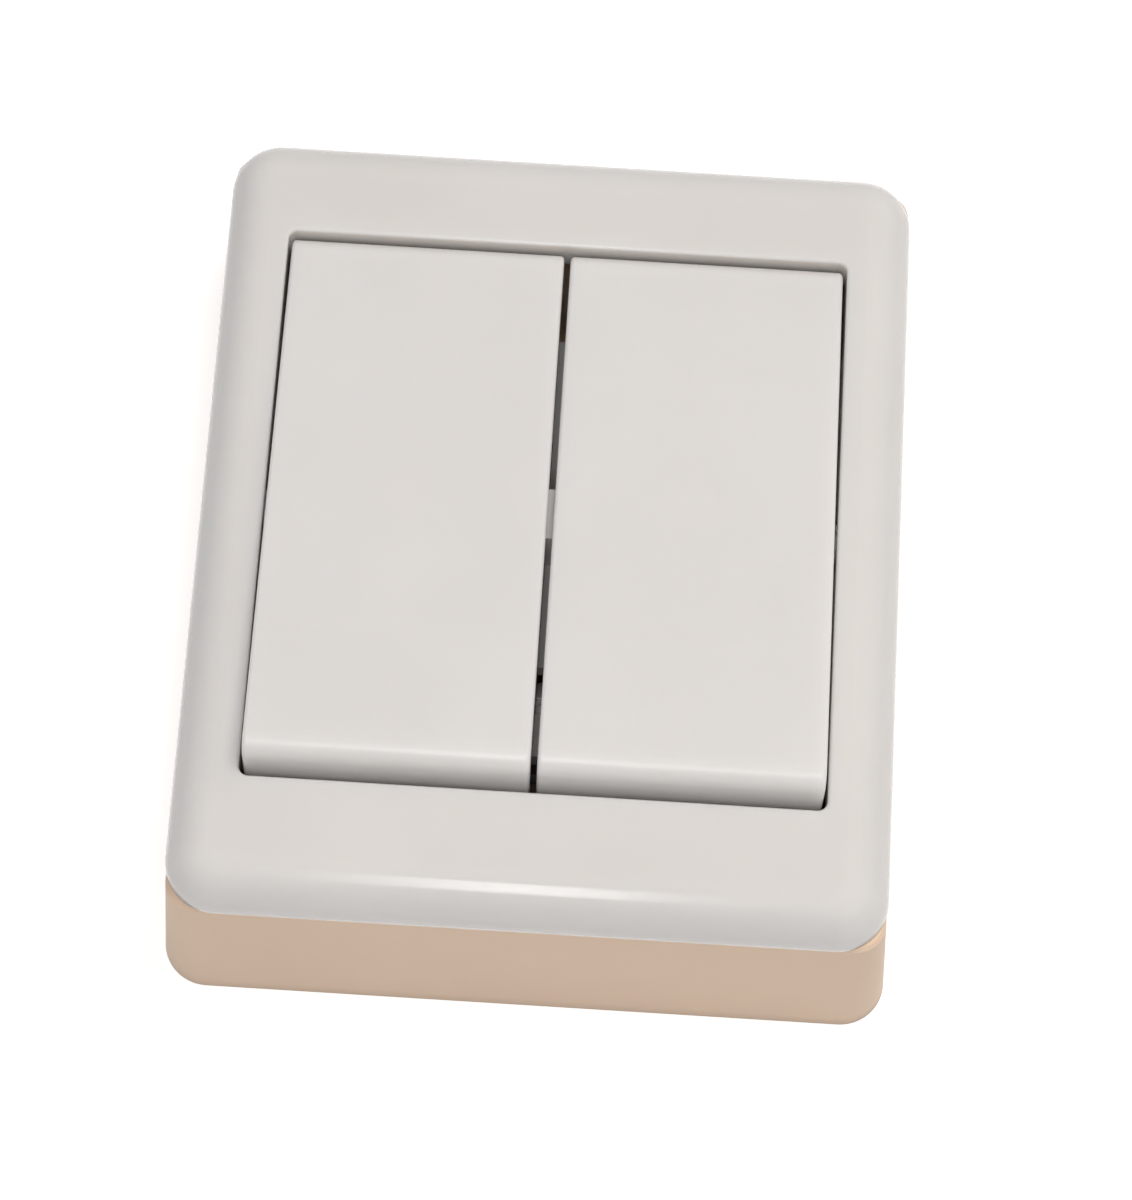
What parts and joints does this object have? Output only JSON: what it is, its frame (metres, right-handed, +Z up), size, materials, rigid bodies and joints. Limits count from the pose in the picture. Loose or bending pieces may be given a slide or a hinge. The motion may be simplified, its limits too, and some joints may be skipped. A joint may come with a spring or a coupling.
{
  "type": "light switch",
  "caption": "Surface-mounted wall light switch with side-by-side rocker keys in a white clip-fitted cover on a beige box.",
  "frame": {"origin": "centre of the box's back face, which lies flat on the wall", "axes": "+Z up as the switch hangs, -Y out of the wall towards the user, +X to the user's right"},
  "size_m": [0.0884, 0.0356, 0.1034],
  "materials": {
    "cover_white": "satin moulded plastic, slightly rounded gloss on the edges",
    "rocker_white": "smooth moulded plastic, low gloss",
    "box_beige": "plain moulded plastic, matt, warm beige",
    "frame_white": "moulded plastic",
    "works_grey": "matt thermoset moulding",
    "plunger_plastic": "natural nylon",
    "contact_brass": "stamped strip",
    "contact_silver": "silver alloy rivet, dull",
    "block_brass": "sawn and drilled",
    "screw_steel": "zinc plated",
    "spring_steel": "drawn wire"
  },
  "bodies": {
    "housing": {"back_box": "box_beige", "front_cover": "cover_white", "key_frame": "frame_white", "mechanism_body": "works_grey", "left_fixed_contact": "contact_silver", "right_fixed_contact": "contact_silver", "common_terminal": "contact_brass", "left_output_terminal": "contact_brass", "right_output_terminal": "contact_brass", "left_terminal_block": "block_brass", "right_terminal_block": "block_brass", "common_terminal_block": "block_brass", "terminal_screws": "screw_steel", "mechanism_screws": "screw_steel", "frame_screws": "screw_steel"},
    "left_key": {"left_rocker": "rocker_white", "left_plunger_spring": "spring_steel"},
    "left_pin": {"left_plunger": "plunger_plastic"},
    "left_lever": {"left_contact_lever": "contact_brass", "left_moving_contact": "contact_silver"},
    "right_key": {"right_rocker": "rocker_white", "right_plunger_spring": "spring_steel"},
    "right_pin": {"right_plunger": "plunger_plastic"},
    "right_lever": {"right_contact_lever": "contact_brass", "right_moving_contact": "contact_silver"}
  },
  "joints": [
    {"name": "left_rocker_tilt", "type": "hinge", "parent": "housing", "child": "left_key", "pos_m": [-0.0172, -0.027, 0.0009], "axis": [1, 0, 0], "range_deg": [0, 8]},
    {"name": "left_plunger_slide", "type": "slide", "parent": "left_key", "child": "left_pin", "axis": [0, -0.9976, 0.0698], "range_m": [0, 0.0015], "stiffness_N_per_m": 400, "springref_m": -0.002, "deforming": ["left_plunger_spring"]},
    {"name": "left_contact_tilt", "type": "hinge", "parent": "housing", "child": "left_lever", "pos_m": [-0.0172, -0.01175, 0.0009], "axis": [1, 0, 0], "range_deg": [-12, 0]},
    {"name": "right_rocker_tilt", "type": "hinge", "parent": "housing", "child": "right_key", "pos_m": [0.0172, -0.027, 0.0009], "axis": [1, 0, 0], "range_deg": [0, 8]},
    {"name": "right_plunger_slide", "type": "slide", "parent": "right_key", "child": "right_pin", "axis": [0, -0.9976, 0.0698], "range_m": [0, 0.0015], "stiffness_N_per_m": 400, "springref_m": -0.002, "deforming": ["right_plunger_spring"]},
    {"name": "right_contact_tilt", "type": "hinge", "parent": "housing", "child": "right_lever", "pos_m": [0.0172, -0.01175, 0.0009], "axis": [1, 0, 0], "range_deg": [-12, 0]}
  ],
  "couplings": [
    {"joint": "left_contact_tilt", "follows": "left_rocker_tilt", "ratio": -1.5},
    {"joint": "right_contact_tilt", "follows": "right_rocker_tilt", "ratio": -1.5}
  ]
}
